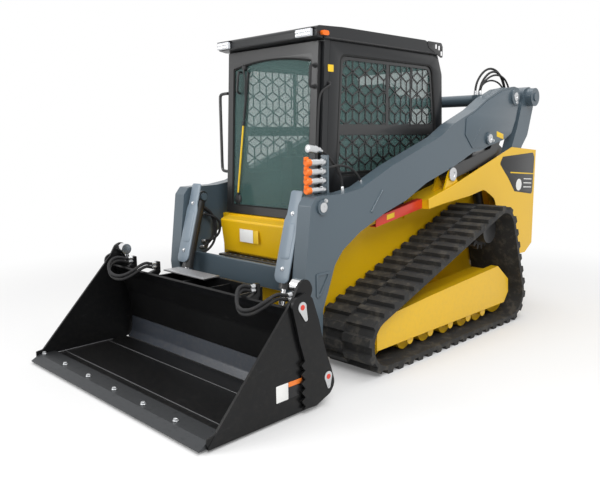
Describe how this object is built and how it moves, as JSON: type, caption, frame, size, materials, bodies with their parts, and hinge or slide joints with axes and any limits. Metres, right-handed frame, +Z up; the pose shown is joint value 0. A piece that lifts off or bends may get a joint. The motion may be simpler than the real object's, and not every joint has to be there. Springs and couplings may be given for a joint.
{
  "type": "compact track loader",
  "caption": "Compact track loader on rubber tracks with vertical-lift arms, a closed cab and a four-in-one clam bucket",
  "frame": {"origin": "On the ground, at the bottom centre of the bounding box", "axes": "+X forward, +Y to the machine's left, +Z up"},
  "size_m": [3.85, 1.958, 2.1679],
  "materials": {
    "yellow_paint": "gloss",
    "rubber": "matte",
    "black_paint": "satin",
    "charcoal_paint": "satin",
    "slate_paint": "satin",
    "light_paint": "satin",
    "glass": "gloss",
    "chrome": "polished",
    "bare_steel": "satin",
    "cast_iron": "matte",
    "black_plastic": "matte",
    "lamp": "gloss",
    "orange_lens": "gloss"
  },
  "bodies": {
    "chassis": {"main_frame": "yellow_paint", "engine_bay": "yellow_paint", "tail_frame": "yellow_paint", "rear_towers": "yellow_paint", "arm_brackets": "yellow_paint", "side_panels": "yellow_paint", "front_panel": "yellow_paint", "step_bar": "black_paint", "track_frames": "yellow_paint", "tracks": "rubber", "sprockets": "black_paint", "idlers": "yellow_paint", "rollers": "yellow_paint", "drive_motors": "black_paint", "engine_block": "cast_iron", "engine_hood": "black_paint", "exhaust_box": "black_paint", "cab_frame": "charcoal_paint", "cab_sides": "charcoal_paint", "cab_rear": "charcoal_paint", "cab_roof": "charcoal_paint", "side_glass": "glass", "rear_glass": "glass", "window_guards": "black_paint", "seat": "black_plastic", "controls": "black_plastic", "work_lamps": "lamp", "marker_lamp": "orange_lens", "grab_rail": "black_paint"},
    "rear_door": {"rear_door": "black_paint"},
    "cab_door": {"cab_door": "black_paint", "door_glass": "glass"},
    "rear_links": {"rear_links": "slate_paint"},
    "lift_arm": {"lift_arm": "slate_paint"},
    "control_links": {"control_links": "black_paint"},
    "lift_barrels": {"lift_barrels": "black_paint"},
    "lift_rods": {"lift_rods": "chrome"},
    "tilt_barrels": {"tilt_barrels": "black_paint", "tilt_guards": "light_paint"},
    "tilt_rods": {"tilt_rods": "chrome"},
    "bucket": {"coupler": "black_paint", "moldboard": "black_paint", "step_plate": "light_paint"},
    "clam": {"clam_shell": "black_paint", "cutting_edge": "bare_steel"},
    "clam_barrels": {"clam_barrels": "black_paint"},
    "clam_rods": {"clam_rods": "chrome"}
  },
  "joints": [
    {"name": "lift", "type": "hinge", "parent": "rear_links", "child": "lift_arm", "pos_m": [-1.765, 0, 1.795], "axis": [0, -1, 0], "range_deg": [0, 73.34]},
    {"name": "rear_link", "type": "hinge", "parent": "chassis", "child": "rear_links", "pos_m": [-1.44, 0, 1], "axis": [0, -1, 0], "range_deg": [-23.35, 0]},
    {"name": "control_link", "type": "hinge", "parent": "chassis", "child": "control_links", "pos_m": [-0.597, 0, 1.198], "axis": [0, -1, 0], "range_deg": [-19.6, 0]},
    {"name": "lift_barrel", "type": "hinge", "parent": "chassis", "child": "lift_barrels", "pos_m": [-1.48, 0, 0.43], "axis": [0, -1, 0], "range_deg": [-3.08, 0]},
    {"name": "lift_rod", "type": "slide", "parent": "lift_barrels", "child": "lift_rods", "axis": [0.3476, 0, 0.9376], "range_m": [0, 0.7808]},
    {"name": "tilt", "type": "hinge", "parent": "lift_arm", "child": "bucket", "pos_m": [0.87, 0, 0.25], "axis": [0, 1, 0], "range_deg": [-25, 60]},
    {"name": "tilt_barrel", "type": "hinge", "parent": "lift_arm", "child": "tilt_barrels", "pos_m": [0.804, 0, 1.067], "axis": [0, -1, 0], "range_deg": [-0.76, 1.81]},
    {"name": "tilt_rod", "type": "slide", "parent": "tilt_barrels", "child": "tilt_rods", "axis": [0.2707, 0, -0.9627], "range_m": [-0.0673, 0.1614]},
    {"name": "clam", "type": "hinge", "parent": "bucket", "child": "clam", "pos_m": [1.265, 0, 0.598], "axis": [0, -1, 0], "range_deg": [0, 55]},
    {"name": "clam_barrel", "type": "hinge", "parent": "bucket", "child": "clam_barrels", "pos_m": [1.064, 0, 0.112], "axis": [0, -1, 0], "range_deg": [-0.01, 3.85]},
    {"name": "clam_rod", "type": "slide", "parent": "clam_barrels", "child": "clam_rods", "axis": [0.248, 0, 0.9688], "range_m": [-0.0939, 0.0001]},
    {"name": "cab_door", "type": "hinge", "parent": "chassis", "child": "cab_door", "pos_m": [0.5973, -0.454, 0.94], "axis": [0.0519, 0, -0.9987], "range_deg": [0, 75]},
    {"name": "rear_door", "type": "hinge", "parent": "chassis", "child": "rear_door", "pos_m": [-1.915, 0.405, 0.86], "axis": [0, 0, -1], "range_deg": [0, 100]}
  ],
  "couplings": [
    {"joint": "rear_link", "follows": "lift", "ratio": -0.31826},
    {"joint": "control_link", "follows": "lift", "ratio": -0.2671},
    {"joint": "lift_barrel", "follows": "lift", "ratio": -0.041845},
    {"joint": "lift_rod", "follows": "lift", "m_per_rad": 0.60986},
    {"joint": "tilt_barrel", "follows": "tilt", "ratio": 0.03},
    {"joint": "tilt_rod", "follows": "tilt", "m_per_rad": 0.154},
    {"joint": "clam_barrel", "follows": "clam", "ratio": 0.06988},
    {"joint": "clam_rod", "follows": "clam", "m_per_rad": -0.097701}
  ]
}
